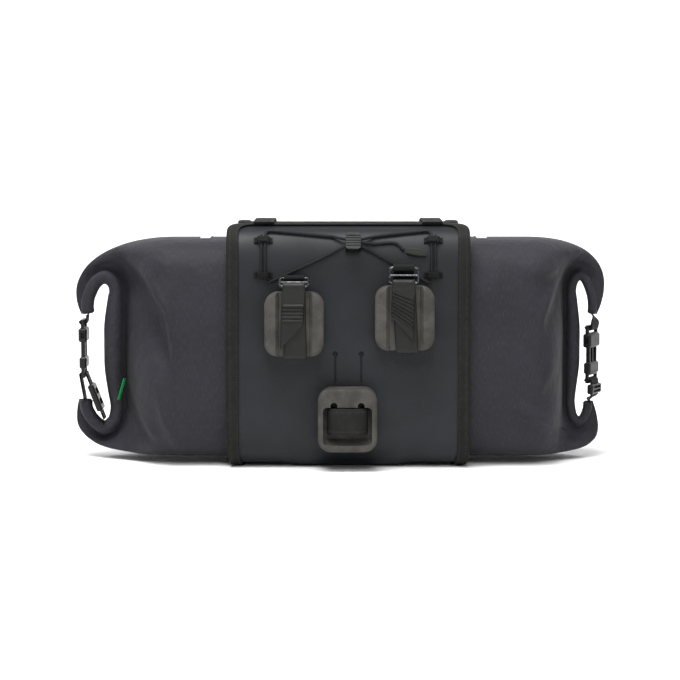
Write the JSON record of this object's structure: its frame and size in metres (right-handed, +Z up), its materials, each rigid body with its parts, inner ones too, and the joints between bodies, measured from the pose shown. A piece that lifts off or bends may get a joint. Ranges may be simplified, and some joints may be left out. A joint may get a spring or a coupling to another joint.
{
  "type": "bicycle handlebar bag",
  "caption": "Soft roll-top handlebar bag, rolled and buckled at both ends, in a wrap-round harness with foam spacers and rubber bar straps.",
  "frame": {"origin": "on the floor under the middle of the harness", "axes": "+X along the bag, -Y towards the handlebar (the bag's back), +Z up"},
  "size_m": [0.4959, 0.2099, 0.2252],
  "materials": {
    "bag_fabric": "matte coated weave",
    "harness_laminate": "low sheen laminate",
    "binding_tape": "woven tape",
    "spacer_foam": "matte moulded foam",
    "strap_rubber": "satin",
    "webbing": "woven",
    "buckle_plastic": "satin",
    "loop_metal": "satin",
    "elastic_cord": "braided sheath",
    "reflective_strip": "reflective film",
    "green_tape": "woven"
  },
  "bodies": {
    "root": {"bag_shell": "bag_fabric", "harness_wrap": "harness_laminate", "edge_binding": "binding_tape", "spacer_block_left": "spacer_foam", "spacer_block_right": "spacer_foam", "spacer_block_lower": "spacer_foam", "handlebar_strap_left": "strap_rubber", "handlebar_strap_right": "strap_rubber", "pull_tab": "strap_rubber", "strap_buckle_left": "loop_metal", "strap_buckle_right": "loop_metal", "buckle_tab_left": "webbing", "buckle_tab_right": "webbing", "head_tube_strap": "webbing", "cord_guide_upper_left": "webbing", "cord_guide_upper_right": "webbing", "cord_guide_lower_left": "webbing", "cord_guide_lower_right": "webbing", "closing_strap_left": "webbing", "closing_strap_right": "webbing", "webbing_upper_left": "webbing", "webbing_upper_right": "webbing", "webbing_lower_left": "webbing", "webbing_lower_right": "webbing", "hanger_cord_left": "elastic_cord", "hanger_cord_right": "elastic_cord", "bungee_cord": "elastic_cord", "cord_tail": "elastic_cord", "cord_lock": "buckle_plastic", "closing_buckle_left": "buckle_plastic", "closing_buckle_right": "buckle_plastic", "buckle_female_left": "buckle_plastic", "buckle_female_right": "buckle_plastic", "buckle_male_left": "buckle_plastic", "buckle_male_right": "buckle_plastic", "adjuster_left": "buckle_plastic", "adjuster_right": "buckle_plastic", "reflective_patch_left": "reflective_strip", "reflective_patch_right": "reflective_strip", "seam_tab_green": "green_tape"}
  },
  "joints": []
}
